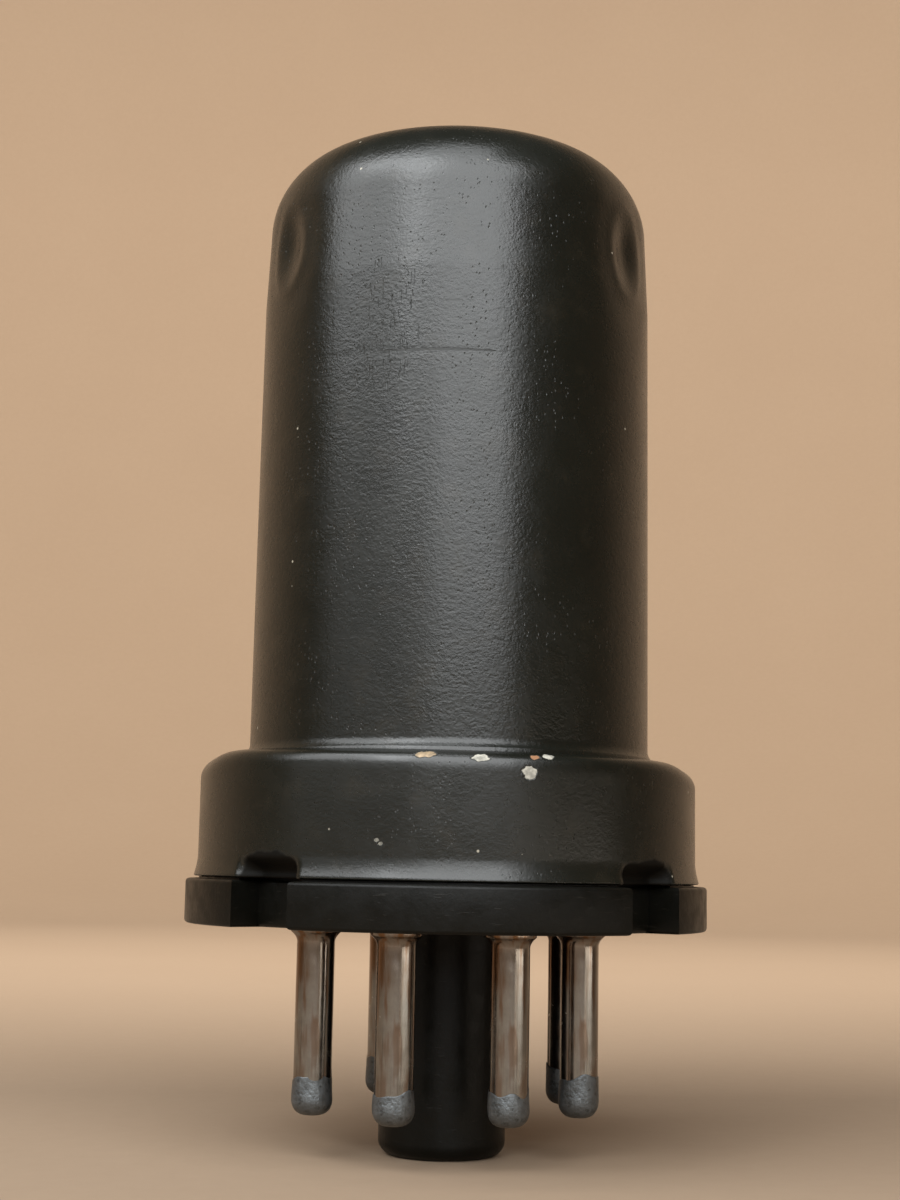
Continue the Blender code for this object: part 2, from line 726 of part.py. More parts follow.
def make_getter(parts, cup_material, wire_material):
    """A small open cup held over the cage on a bent wire."""
    floor = GETTER_HEIGHT
    rim = floor + GETTER_DEPTH
    inner = GETTER_RADIUS - GETTER_SHEET
    profile = [
        (0.0, floor + GETTER_SHEET),
        (inner, floor + GETTER_SHEET),
        (inner, rim),
        (GETTER_RADIUS, rim),
        (GETTER_RADIUS, floor),
        (0.0, floor),
    ]
    cup = turned("getter_cup", profile, parts, 20)
    finish(move_mesh(cup, Vector((0.0, GETTER_OFFSET, 0.0))), cup_material)
    below = floor - GETTER_WIRE - FINE_GAP
    points = [
        Vector((POST_PLACE, 0.0, ROD_HEAD + GETTER_WIRE + FINE_GAP)),
        Vector((POST_PLACE * 0.92, GETTER_OFFSET * 0.3, ROD_HEAD + 1.6 * MM)),
        Vector((POST_PLACE * 0.6, GETTER_OFFSET * 0.8, below)),
        Vector((0.0, GETTER_OFFSET, below)),
        Vector((-GETTER_RADIUS, GETTER_OFFSET, below)),
    ]
    finish(wire("getter_wire", points, GETTER_WIRE, parts), wire_material)


def main():
    clear_scene()
    parts = new_collection("vacuum_tube")
    cutters = new_collection("cutters")
    black_paint = make_material("shell_paint", (0.018, 0.018, 0.016), 0.38)
    collar_paint = make_material("collar_paint", (0.018, 0.018, 0.015), 0.42)
    phenolic = make_material("phenolic", (0.016, 0.015, 0.011), 0.5)
    plated_brass = make_material("plated_brass", (0.62, 0.52, 0.40), 0.32, 1.0)
    solder = make_material("solder", (0.36, 0.37, 0.38), 0.55, 1.0)
    steel = make_material("header_steel", (0.45, 0.45, 0.46), 0.4, 1.0)
    glass = make_material("stem_glass", (0.55, 0.65, 0.66), 0.08)
    copper = make_material("exhaust_copper", (0.66, 0.36, 0.22), 0.35, 1.0)
    nickel = make_material("nickel", (0.56, 0.54, 0.50), 0.35, 1.0)
    lead_wire = make_material("lead_wire", (0.60, 0.50, 0.40), 0.4, 1.0)
    mica = make_material("mica", (0.62, 0.56, 0.42), 0.2)
    carbon = make_material("carbonised_nickel", (0.05, 0.05, 0.05), 0.75, 0.4)
    oxide = make_material("oxide_white", (0.82, 0.81, 0.77), 0.9)

    make_shell(parts, cutters, black_paint)
    make_collar(parts, collar_paint)
    make_base_wafer(parts, cutters, phenolic)
    make_pins(parts, plated_brass, solder)
    make_header(parts, steel)
    make_stem_glass(parts, cutters, glass)
    make_exhaust_tube(parts, copper)
    make_leads(parts, lead_wire)
    make_stem_shield(parts, cutters, steel)
    make_mica("lower_mica", LOWER_MICA, parts, cutters, mica)
    make_mica("upper_mica", UPPER_MICA, parts, cutters, mica)
    for spec in GRIDS:
        make_grid(spec, parts, cutters, nickel)
    make_cathode(parts, oxide)
    make_heater(parts, oxide)
    make_anode(parts, carbon)
    make_uprights(parts, nickel, steel)
    make_getter(parts, nickel, nickel)


main()
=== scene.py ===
"""Looks for the metal-shell vacuum tube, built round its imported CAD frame.

Lengths are metres, and millimetres inside the materials. The tube stands on its spigot at
the origin, dome up. Angles are measured from the -Y direction, anticlockwise seen from
above, as in the CAD.
"""

import math

import bmesh
import bpy
import numpy as np
from mathutils import Matrix, Vector


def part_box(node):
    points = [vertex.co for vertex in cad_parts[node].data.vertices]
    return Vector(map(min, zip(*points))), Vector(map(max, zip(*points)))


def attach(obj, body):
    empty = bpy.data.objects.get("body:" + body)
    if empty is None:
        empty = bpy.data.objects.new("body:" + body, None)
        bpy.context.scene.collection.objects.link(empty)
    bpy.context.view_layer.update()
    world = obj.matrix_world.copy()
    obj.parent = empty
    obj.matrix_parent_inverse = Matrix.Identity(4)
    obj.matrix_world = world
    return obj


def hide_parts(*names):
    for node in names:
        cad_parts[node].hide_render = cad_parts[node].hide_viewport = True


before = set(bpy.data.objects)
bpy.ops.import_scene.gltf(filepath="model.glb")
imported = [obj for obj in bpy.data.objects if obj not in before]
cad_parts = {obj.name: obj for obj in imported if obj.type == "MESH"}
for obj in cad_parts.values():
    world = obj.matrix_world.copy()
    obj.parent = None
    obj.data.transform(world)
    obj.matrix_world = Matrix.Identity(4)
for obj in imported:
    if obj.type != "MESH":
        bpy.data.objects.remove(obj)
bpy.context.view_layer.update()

MM = 0.001
SAME_POINT = 0.0001 * MM

# Heights and radii that come from the frame.
WAFER_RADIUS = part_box("base_wafer")[1].x
COLLAR_LOW, COLLAR_HIGH = (corner.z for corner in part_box("collar"))
COLLAR_FOOT_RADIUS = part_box("collar")[1].x
SHELL_FLANGE_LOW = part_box("shell")[0].z
SHELL_FLANGE_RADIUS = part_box("shell")[1].x
TUBE_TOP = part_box("shell")[1].z
PIN_NUMBERS = range(1, 9)

# Moulded base.
SPIGOT_RADIUS = 3.92 * MM
SEAT_HEIGHT = 13.9 * MM
WAFER_TOP = 16.6 * MM
NOTCH_ANGLES = [math.radians(45 + 90 * quarter) for quarter in range(4)]
NOTCH_HALF_WIDTH = 2.3 * MM
NOTCH_FLOOR = 13.9 * MM
POCKET_HALF_WIDTH = 2.6 * MM
POCKET_FLOOR = 13.6 * MM
RING_INNER = 12.9 * MM
RING_OUTER = 14.8 * MM
RING_TOP = WAFER_TOP + 2.5 * MM
RIM_EDGE = 0.22 * MM
SPIGOT_FILLET = 0.35 * MM
SPIGOT_NOSE = 0.9 * MM
KEY_HALF_WIDTH = 1.15 * MM
KEY_REACH = 5.1 * MM

# How finely the base's outlines are divided: a notch's sides, its floor, the arc between two.
WALL_STEPS = 3
FLOOR_STEPS = 5
ARC_STEPS = 56

# Contact pins.
PIN_RADIUS = 1.155 * MM
SWAGE_RADIUS = 1.56 * MM
SWAGE_LIP = 0.36 * MM
SWAGE_DEPTH = 1.0 * MM

# Shell and its three dimples.
SHELL_RADIUS = 12.55 * MM
KNEE_RADIUS = 12.42 * MM
KNEE_HEIGHT = 53.0 * MM
SHOULDER_RADIUS = 12.2 * MM
SHOULDER_CURVE = 5.2 * MM
DOME_CROWN = 0.45 * MM
SHELL_WALL = 0.75 * MM
FOOT_FLARE_TOP = COLLAR_HIGH + 0.66 * MM
FOOT_FLARE_HEIGHT = 0.6 * MM
FOOT_FLARE_REACH = 0.25 * MM
SCORE_HEIGHT = 47.7 * MM
DIMPLE_ANGLES = [math.radians(-63.6 + 120 * third) for third in range(3)]
DIMPLE_HEIGHT = 55.7 * MM
DIMPLE_HALF_SIZE = (2.1 * MM, 3.0 * MM)
DIMPLE_DEPTH = 0.52 * MM
DIMPLE_RIM_DEPTH = 0.096 * MM

# Collar. The roll's two sizes are its width and its height. The roll is squarer at the front:
# fully so within the first angle either side of the camera, and no longer at the second.
COLLAR_RADIUS = 15.53 * MM
COLLAR_LIP = 12.95 * MM
COLLAR_ROLL = (2.5 * MM, 1.6 * MM)
COLLAR_SQUARE_ANGLES = (0.85, 1.35)
COLLAR_SQUARENESS = 2.5
COLLAR_WALL = 0.4 * MM
COLLAR_FLARE_HEIGHT = 1.35 * MM
COLLAR_EDGE = 0.1 * MM
CRIMP_DEPTH = 1.25 * MM
CRIMP_HALF_WIDTH = 1.75 * MM
CRIMP_HEIGHT = 1.3 * MM
COLLAR_LEAN_FORWARD = 0.2 * MM
COLLAR_LEAN_RIGHT = 0.1 * MM

# Camera, from the photograph's viewing angle.
CAMERA_DISTANCE = 123.3 * MM
CAMERA_ROUND = math.radians(-3.65)
CAMERA_HEIGHT = SEAT_HEIGHT + 3.81 * MM
CAMERA_ASIDE = -0.1 * MM
CAMERA_TILT = math.radians(7.76)
CAMERA_ROLL = math.radians(1.09)
CAMERA_LENS = 58.2


def polar(radius, angle, height=0.0):
    return Vector((radius * math.sin(angle), -radius * math.cos(angle), height))


def surface_point(radius, angle_from_camera, height):
    """A point in millimetres on a round surface, its angle taken from the camera's side."""
    angle = math.radians(angle_from_camera) + CAMERA_ROUND
    return tuple(polar(radius, angle, height))


def smooth_step(share):
    share = np.clip(share, 0.0, 1.0)
    return share * share * (3 - 2 * share)


def arc(centre, radius, start, end, count):
    """Points of an arc in the profile plane, from one angle in degrees to another."""
    angles = np.radians(np.linspace(start, end, count))
    return [(centre[0] + radius * math.cos(a), centre[1] + radius * math.sin(a)) for a in angles]


def line(start, end, count):
    """Points from start to end, without the start."""
    return [
        (start[0] + (end[0] - start[0]) * share, start[1] + (end[1] - start[1]) * share)
        for share in np.linspace(0, 1, count + 1)[1:]
    ]


def ripple(angle, height, seed, waves, turns, spread):
    """Smooth irregularity over a turned surface, mostly in -1..1, the same on every run."""
    source = np.random.default_rng(seed)
    total = np.zeros(np.broadcast(angle, height).shape)
    for _ in range(waves):
        around = source.integers(0, turns + 1)
        along = source.uniform(-1, 1) * math.tau / spread
        phase = source.uniform(0, math.tau)
        total += np.sin(around * angle + along * height + phase)
    usual_peak = 1.6 * math.sqrt(waves)
    return total / usual_peak


def turned_mesh(name, profile, steps, move=None, closed=False):
    """A turned surface on a grid. move(radius, angle, height) returns new radius and height.

    The profile runs down the piece's outer side. Its ends lie on the axis or it is closed.
    """
    radius = np.array([p[0] for p in profile])[:, None]
    height = np.array([p[1] for p in profile])[:, None]
    angle = (np.arange(steps) * math.tau / steps)[None, :]
    radius, height, angle = np.broadcast_arrays(radius, height, angle)
    if move:
        radius, height = move(radius, angle, height)
    points = np.stack([radius * np.sin(angle), -radius * np.cos(angle), height], -1)
    work = bmesh.new()
    rows = []
    for row, (profile_radius, _) in zip(points, profile):
        if profile_radius < SAME_POINT:
            rows.append([work.verts.new((0.0, 0.0, float(row[:, 2].mean())))])
        else:
            rows.append([work.verts.new(point) for point in row])
    pairs = list(zip(rows, rows[1:]))
    if closed:
        pairs.append((rows[-1], rows[0]))
    for upper, lower in pairs:
        for index in range(steps):
            after = (index + 1) % steps
            if len(upper) == 1:
                corners = (upper[0], lower[index], lower[after])
            elif len(lower) == 1:
                corners = (upper[index], lower[0], upper[after])
            else:
                corners = (upper[index], lower[index], lower[after], upper[after])
            work.faces.new(corners)
    return finish_mesh(name, work)


def finish_mesh(name, work):
    work.normal_update()
    mesh = bpy.data.meshes.new(name)
    work.to_mesh(mesh)
    work.free()
    mesh.shade_smooth()
    obj = bpy.data.objects.new(name, mesh)
    bpy.context.scene.collection.objects.link(obj)
    return obj


def part_of_tube(obj, material, node):
    """The piece rides on the tube, wears the material and stands for the CAD node."""
    obj.data.materials.append(material)
    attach(obj, "root")
    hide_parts(node)


# ---------------------------------------------------------------- materials


class Tree:
    """A material's node tree, with short calls for the nodes that the finishes use."""

    def __init__(self, name):
        self.material = bpy.data.materials.new(name)
        self.material.use_nodes = True
        self.nodes = self.material.node_tree.nodes
        self.links = self.material.node_tree.links
        self.shader = self.nodes["Principled BSDF"]
        place = self.nodes.new("ShaderNodeTexCoord").outputs["Object"]
        self.place = self.scaled(place, (1000, 1000, 1000))

    def put(self, value, socket):
        if hasattr(value, "links"):
            self.links.new(value, socket)
        else:
            socket.default_value = value

    def scaled(self, vector, scale):
        node = self.nodes.new("ShaderNodeVectorMath")
        node.operation = "MULTIPLY"
        self.put(vector, node.inputs[0])
        node.inputs[1].default_value = scale
        return node.outputs[0]

    def noise(self, scale, detail=2.0, roughness=0.5, vector=None, distortion=0.0):
        node = self.nodes.new("ShaderNodeTexNoise")
        self.put(self.place if vector is None else vector, node.inputs["Vector"])
        node.inputs["Scale"].default_value = scale
        node.inputs["Detail"].default_value = detail
        node.inputs["Roughness"].default_value = roughness
        node.inputs["Distortion"].default_value = distortion
        return node.outputs["Fac"]

    def cells(self, scale, vector=None):
        node = self.nodes.new("ShaderNodeTexVoronoi")
        self.put(self.place if vector is None else vector, node.inputs["Vector"])
        node.inputs["Scale"].default_value = scale
        return node.outputs["Distance"], node.outputs["Color"]

    def math(self, operation, first, second, clamp=False):
        node = self.nodes.new("ShaderNodeMath")
        node.operation = operation
        node.use_clamp = clamp
        self.put(first, node.inputs[0])
        self.put(second, node.inputs[1])
        return node.outputs[0]

    def plus(self, value, extra, share):
        """The value with a share of something else added."""
        return self.math("ADD", value, self.math("MULTIPLY", extra, share))

    def span(self, value, low, high, new_low=0.0, new_high=1.0):
        """Map low..high to new_low..new_high, clamped, with soft ends."""
        node = self.nodes.new("ShaderNodeMapRange")
        node.interpolation_type = "SMOOTHSTEP"
        self.put(value, node.inputs["Value"])
        node.inputs["From Min"].default_value = low
        node.inputs["From Max"].default_value = high
        node.inputs["To Min"].default_value = new_low
        node.inputs["To Max"].default_value = new_high
        return node.outputs["Result"]

    def mix(self, share, first, second):
        node = self.nodes.new("ShaderNodeMix")
        node.data_type = "RGBA"
        self.put(share, node.inputs[0])
        for value, socket in ((first, node.inputs[6]), (second, node.inputs[7])):
            self.put((*value, 1.0) if isinstance(value, tuple) else value, socket)
        return node.outputs[2]

    def stain(self, base, mask, strength, colour):
        """The base colour, turned towards another one where the mask is 1."""
        return self.mix(self.math("MULTIPLY", mask, strength), base, colour)

    def axis(self, name):
        node = self.nodes.new("ShaderNodeSeparateXYZ")
        self.put(self.place, node.inputs[0])
        return node.outputs[name]

    def bump(self, height, distance):
        node = self.nodes.new("ShaderNodeBump")
        node.inputs["Distance"].default_value = distance
        self.put(height, node.inputs["Height"])
        return node.outputs["Normal"]

    def spot(self, centre, half, ragged=0.35, ragged_scale=2.5):
        """1 inside a ragged ellipsoid about a point given in millimetres, 0 outside."""
        offset = self.nodes.new("ShaderNodeVectorMath")
        offset.operation = "SUBTRACT"
        self.put(self.place, offset.inputs[0])
        offset.inputs[1].default_value = centre
        shaped = self.scaled(offset.outputs[0], tuple(1 / size for size in half))
        length = self.nodes.new("ShaderNodeVectorMath")
        length.operation = "LENGTH"
        self.put(shaped, length.inputs[0])
        edge = self.span(self.noise(ragged_scale, 3.0), 0.2, 0.8, -ragged, ragged)
        return self.span(self.math("ADD", length.outputs["Value"], edge), 0.85, 1.0, 1.0, 0.0)

    def finish(self, colour, roughness, normal, metallic=0.0, specular=0.5):
        self.put(colour, self.shader.inputs["Base Color"])
        self.put(roughness, self.shader.inputs["Roughness"])
        self.put(normal, self.shader.inputs["Normal"])
        self.put(metallic, self.shader.inputs["Metallic"])
        self.put(specular, self.shader.inputs["Specular IOR Level"])
        return self.material


def dust(tree, scale, share):
    """Sparse pale specks, a fraction of a millimetre across."""
    distance, colour = tree.cells(scale)
    chosen = tree.math("GREATER_THAN", colour, 1.0 - share)
    return tree.math("MULTIPLY", tree.span(distance, 0.05, 0.11, 1.0, 0.0), chosen)


def enamel(name, peel, scratched=None, shaded_crimps=(), chips=()):
    """Black stoving enamel: fine orange peel, pits, dust, scratches, grime, chips to primer and painted
    shade in the crimps.
    """
    tree = Tree(name)
    base = tree.mix(tree.noise(0.16, 3.0), (0.0036, 0.0040, 0.0027), (0.0072, 0.0076, 0.0052))
    grime = tree.span(tree.noise(0.45, 5.0, 0.6), 0.52, 0.75)
    base = tree.stain(base, grime, 0.35, (0.018, 0.015, 0.0095))
    specks = tree.math("MAXIMUM", dust(tree, 1.1, 0.14), dust(tree, 3.1, 0.04))
    base = tree.stain(base, specks, 0.8, (0.36, 0.33, 0.26))

    wrinkles = tree.noise(1.0, 3.0, 0.55, tree.scaled(tree.place, (2.7, 2.7, 4.0)), 0.2)
    pits = enamel_pits(tree)
    grain = tree.plus(tree.math("MULTIPLY", wrinkles, 0.38), tree.noise(7.0), 0.24)
    grain = tree.plus(grain, pits, -0.32)
    roughness = tree.span(tree.noise(0.5, 4.0, 0.6), 0.3, 0.7, 0.24, 0.29)
    roughness = tree.plus(roughness, pits, 0.15)
    if scratched:
        marks = scratches_and_score(tree, scratched)
        grain = tree.plus(grain, marks, -0.5)
        roughness = tree.plus(roughness, marks, 0.15)

    shine = 0.5
    # Painted shade, with some grime, darkens the enamel in each crimp, and the enamel there is made rougher
    # and less shiny.
    for centre in shaded_crimps:
        shade_and_grime = tree.spot(centre, (2.6, 2.6, 1.5), 0.12, 0.8)
        base = tree.mix(shade_and_grime, base, (0.0030, 0.0026, 0.0018))
        roughness = tree.plus(roughness, shade_and_grime, 0.35)
        shine = tree.plus(shine, shade_and_grime, -0.4)
    for centre, half, colour in chips:
        bare = tree.spot(centre, half)
        inner = tree.spot(centre, tuple(size * 0.88 for size in half))
        flaky = tree.span(tree.noise(3.0, 4.0, 0.6), 0.35, 0.65)
        worn = tree.mix(flaky, tuple(channel * 0.5 for channel in colour), colour)
        base = tree.mix(inner, base, worn)
        roughness = tree.plus(roughness, bare, 0.3)
        grain = tree.plus(grain, bare, -1.0)
    return tree.finish(base, roughness, tree.bump(grain, peel), specular=shine)


def enamel_pits(tree):
    """Small pits in drifts: 1 in a pit, 0 outside."""
    distance, colour = tree.cells(1.0, tree.scaled(tree.place, (4.6, 4.6, 3.0)))
    chosen = tree.math("GREATER_THAN", colour, 0.60)
    drifts = tree.span(tree.noise(0.2), 0.42, 0.60)
    pits = tree.math("MULTIPLY", tree.span(distance, 0.10, 0.30, 1.0, 0.0), chosen)
    return tree.math("MULTIPLY", pits, drifts)


def scratches_and_score(tree, scratched):
    """Short upright scratches inside the given spot, and the score line round the front."""
    lines = tree.noise(1.0, vector=tree.scaled(tree.place, (8.0, 8.0, 0.9)))
    inside = tree.spot(*scratched, 0.5, 0.5)
    scratches = tree.math("MULTIPLY", tree.span(lines, 0.60, 0.67), inside)
    score = tree.spot(surface_point(12.4, -6.0, SCORE_HEIGHT / MM), (4.0, 3.0, 0.08), 0.25, 0.8)
    return tree.plus(scratches, score, 1.6)


def phenolic():
    """Satin black moulded phenolic, slightly brown, with flow marks and handling wear."""
    tree = Tree("phenolic_moulding")
    flow = tree.noise(0.35, 4.0, 0.55, distortion=0.6)
    base = tree.mix(flow, (0.0018, 0.0018, 0.0013), (0.0042, 0.0039, 0.0027))
    base = tree.stain(base, dust(tree, 1.6, 0.08), 0.6, (0.24, 0.21, 0.16))
    scratch = tree.noise(1.0, vector=tree.scaled(tree.place, (1.0, 1.0, 7.0)))
    marks = tree.span(scratch, 0.66, 0.72)
    base = tree.stain(base, marks, 0.35, (0.016, 0.014, 0.011))
    roughness = tree.span(tree.noise(0.9, 4.0, 0.6), 0.3, 0.7, 0.30, 0.44)
    grain = tree.plus(tree.noise(3.5, 3.0, 0.55), marks, 0.25)
    return tree.finish(base, roughness, tree.bump(grain, 0.012 * MM), specular=0.16)


def plated_pin():
    """Worn nickel plate over brass: copper tarnish by the roots, drawn lines, dark specks."""
    tree = Tree("plated_pin")
    height = tree.axis("Z")
    blotch = tree.noise(0.9, 4.0, 0.6)
    streaks = tree.noise(1.0, 3.0, 0.55, tree.scaled(tree.place, (1.6, 1.6, 0.22)))
    near_root = tree.span(height, 6.0, 13.6, 0.0, 0.55)
    patches = tree.span(streaks, 0.42, 0.62, -0.25, 0.5)
    tarnish = tree.math("ADD", near_root, patches, clamp=True)
    plate = tree.mix(blotch, (0.14, 0.14, 0.138), (0.40, 0.39, 0.365))
    base = tree.mix(tarnish, plate, (0.17, 0.095, 0.050))
    lines = tree.noise(1.0, vector=tree.scaled(tree.place, (5.0, 5.0, 0.15)))
    base = tree.mix(tree.span(lines, 0.56, 0.72, 0.0, 0.35), base, (0.09, 0.075, 0.055))
    distance, colour = tree.cells(1.6)
    chosen = tree.math("GREATER_THAN", colour, 0.88)
    pit = tree.math("MULTIPLY", tree.span(distance, 0.10, 0.2, 1.0, 0.0), chosen)
    base = tree.stain(base, pit, 0.8, (0.05, 0.03, 0.018))
    roughness = tree.span(blotch, 0.3, 0.75, 0.15, 0.28)
    return tree.finish(base, roughness, tree.bump(lines, 0.005 * MM), 1.0)


def tinned():
    """Dull grey solder with a grainy, lumpy skin."""
    tree = Tree("tinned_tip")
    lump = tree.noise(1.6, 4.0, 0.6)
    base = tree.mix(lump, (0.05, 0.054, 0.056), (0.17, 0.18, 0.183))
    dirt = tree.span(tree.noise(2.0, 4.0, 0.65), 0.52, 0.70)
    base = tree.stain(base, dirt, 0.7, (0.022, 0.020, 0.016))
    roughness = tree.span(lump, 0.3, 0.7, 0.36, 0.55)
    grain = tree.plus(lump, tree.noise(6.0), 0.4)
    return tree.finish(base, roughness, tree.bump(grain, 0.07 * MM), 0.8)


def plain_metal(name, dark, light, rough, stretch, metallic=1.0):
    """Drawn or rolled metal: fine lines along stretch, faint clouds and dull spots."""
    tree = Tree(name)
    lines = tree.noise(1.0, 4.0, 0.6, tree.scaled(tree.place, stretch))
    cloud = tree.noise(0.7, 3.0, 0.6)
    base = tree.mix(tree.math("MULTIPLY", tree.math("ADD", lines, cloud), 0.5), dark, light)
    roughness = tree.span(cloud, 0.3, 0.7, rough[0], rough[1])
    return tree.finish(base, roughness, tree.bump(lines, 0.01 * MM), metallic)


def pressed_glass():
    """Slightly green glass with a faint swirl."""
    tree = Tree("pressed_glass")
    swirl = tree.noise(0.8, 3.0, 0.5, distortion=1.0)
    base = tree.mix(swirl, (0.50, 0.62, 0.62), (0.72, 0.80, 0.78))
    tree.shader.inputs["Transmission Weight"].default_value = 0.85
    tree.shader.inputs["IOR"].default_value = 1.5
    roughness = tree.span(swirl, 0.3, 0.7, 0.04, 0.14)
    return tree.finish(base, roughness, tree.bump(swirl, 0.02 * MM))


def split_mica():
    """Amber mica with cleavage clouds and fine flaking."""
    tree = Tree("split_mica")
    cloud = tree.noise(0.5, 5.0, 0.65, distortion=0.8)
    base = tree.mix(cloud, (0.34, 0.25, 0.12), (0.74, 0.68, 0.52))
    flakes = tree.cells(1.4)[0]
    tree.shader.inputs["Transmission Weight"].default_value = 0.35
    roughness = tree.span(cloud, 0.3, 0.7, 0.12, 0.34)
    return tree.finish(base, roughness, tree.bump(flakes, 0.02 * MM))


def sprayed_oxide():
    """Dull white oxide, rough as plaster."""
    tree = Tree("sprayed_oxide")
    grain = tree.noise(6.0, 4.0, 0.7)
    base = tree.mix(grain, (0.60, 0.59, 0.55), (0.88, 0.87, 0.83))
    return tree.finish(base, tree.span(grain, 0.3, 0.7, 0.8, 0.95), tree.bump(grain, 0.03 * MM))


# ---------------------------------------------------------------- pieces


def shell_profile():
    """Outer side from the dome down to the foot, then the inner side back up."""
    shoulder_height = TUBE_TOP - DOME_CROWN - SHOULDER_CURVE
    shoulder = (SHOULDER_RADIUS - SHOULDER_CURVE, shoulder_height)
    crown = [
        (shoulder[0] * share, TUBE_TOP - DOME_CROWN * share**2.4)
        for share in np.linspace(0, 0.96, 14)
    ]
    outer = crown + arc(shoulder, SHOULDER_CURVE, 84, 0, 30)
    outer += line(outer[-1], (KNEE_RADIUS, KNEE_HEIGHT), 24)
    outer += line(outer[-1], (SHELL_RADIUS, FOOT_FLARE_TOP), 110)
    outer += [
        (SHELL_RADIUS + FOOT_FLARE_REACH * share**2.2, FOOT_FLARE_TOP - FOOT_FLARE_HEIGHT * share)
        for share in np.linspace(0, 1, 14)[1:]
    ]
    rim = (SHELL_FLANGE_RADIUS - 0.02 * MM, SHELL_FLANGE_LOW + SHELL_WALL - 0.05 * MM)
    tucked = (COLLAR_LIP - 0.1 * MM, rim[1] + 0.12 * MM)
    outer += line(outer[-1], tucked, 3) + line(tucked, rim, 3)
    outer += [(rim[0], SHELL_FLANGE_LOW)]
    bore = SHELL_RADIUS - SHELL_WALL
    inner = line(outer[-1], (bore + 0.9 * MM, SHELL_FLANGE_LOW), 2)
    inner += line(inner[-1], (bore, COLLAR_HIGH + 0.6 * MM), 3)
    inner += line(inner[-1], (KNEE_RADIUS - SHELL_WALL, KNEE_HEIGHT), 30)
    inner += line(inner[-1], (SHOULDER_RADIUS - SHELL_WALL, shoulder_height), 10)
    inner += arc(shoulder, SHOULDER_CURVE - SHELL_WALL, 0, 84, 12)[1:]
    inner += [(x, z - SHELL_WALL) for x, z in reversed(crown[::3])]
    return outer + inner


def angle_to(angle, target):
    """The signed angle from target, the short way round."""
    return (angle - target + math.pi) % math.tau - math.pi


def shell_moves(radius, angle, height):
    """Press the dimples, and give the drawn wall its slight waviness."""
    moved = radius.copy()
    wall = smooth_step((radius - 8 * MM) / (3 * MM))
    moved += 0.016 * MM * wall * ripple(angle, height, 11, 9, 6, 30 * MM)
    for target in DIMPLE_ANGLES:
        across = angle_to(angle, target) * radius
        along = height - DIMPLE_HEIGHT
        far = np.hypot(across / DIMPLE_HALF_SIZE[0], along / DIMPLE_HALF_SIZE[1])
        dent = DIMPLE_DEPTH * np.cos(np.clip(far, 0, 1) * math.pi / 2) ** 1.5
        pulled_in = DIMPLE_RIM_DEPTH * np.exp(-((far - 1.15) / 0.5) ** 2)
        moved -= (dent + pulled_in) * wall
    score = np.exp(-(((height - SCORE_HEIGHT) / (0.06 * MM)) ** 2))
    moved -= 0.02 * MM * score * wall
    return moved, height


def make_shell(material):
    skin = turned_mesh("shell_can", shell_profile(), 288, shell_moves)
    part_of_tube(skin, material, "shell")


def collar_profile():
    """Outer side from the lip over the roll to the flared foot, then the inner side back up."""
    width, rise = COLLAR_ROLL
    centre = (COLLAR_RADIUS - width, COLLAR_HIGH - rise)
    turns = np.radians(np.linspace(89, 0, 30))
    rolled = [(centre[0] + width * math.cos(t), centre[1] + rise * math.sin(t)) for t in turns]
    inner_roll = [
        (centre[0] + (width - COLLAR_WALL) * math.cos(t), centre[1] + (rise - COLLAR_WALL) * math.sin(t))
        for t in turns[::-3][1:]
    ]
    roll = 0.12 * MM
    outer = arc((COLLAR_LIP + roll, COLLAR_HIGH - roll), roll, 180, 90, 4)
    outer += rolled
    flare = COLLAR_LOW + COLLAR_FLARE_HEIGHT
    outer += line(outer[-1], (COLLAR_RADIUS, flare), 26)
    for share in np.linspace(0, 1, 12)[1:]:
        reach = COLLAR_RADIUS + (COLLAR_FOOT_RADIUS - COLLAR_RADIUS) * share**1.8
        outer.append((reach, flare + (COLLAR_LOW + COLLAR_EDGE - flare) * share))
    inside = COLLAR_FOOT_RADIUS - COLLAR_WALL
    edge = (COLLAR_FOOT_RADIUS - COLLAR_EDGE, COLLAR_LOW + COLLAR_EDGE)
    outer += arc(edge, COLLAR_EDGE, -20, -90, 4)
    inner = line(outer[-1], (inside, COLLAR_LOW), 2)
    inner += line(inner[-1], (COLLAR_RADIUS - COLLAR_WALL, flare), 6)
    inner += line(inner[-1], (COLLAR_RADIUS - COLLAR_WALL, centre[1]), 12) + inner_roll
    inner += [(COLLAR_LIP, COLLAR_HIGH - COLLAR_WALL)]
    return outer + inner


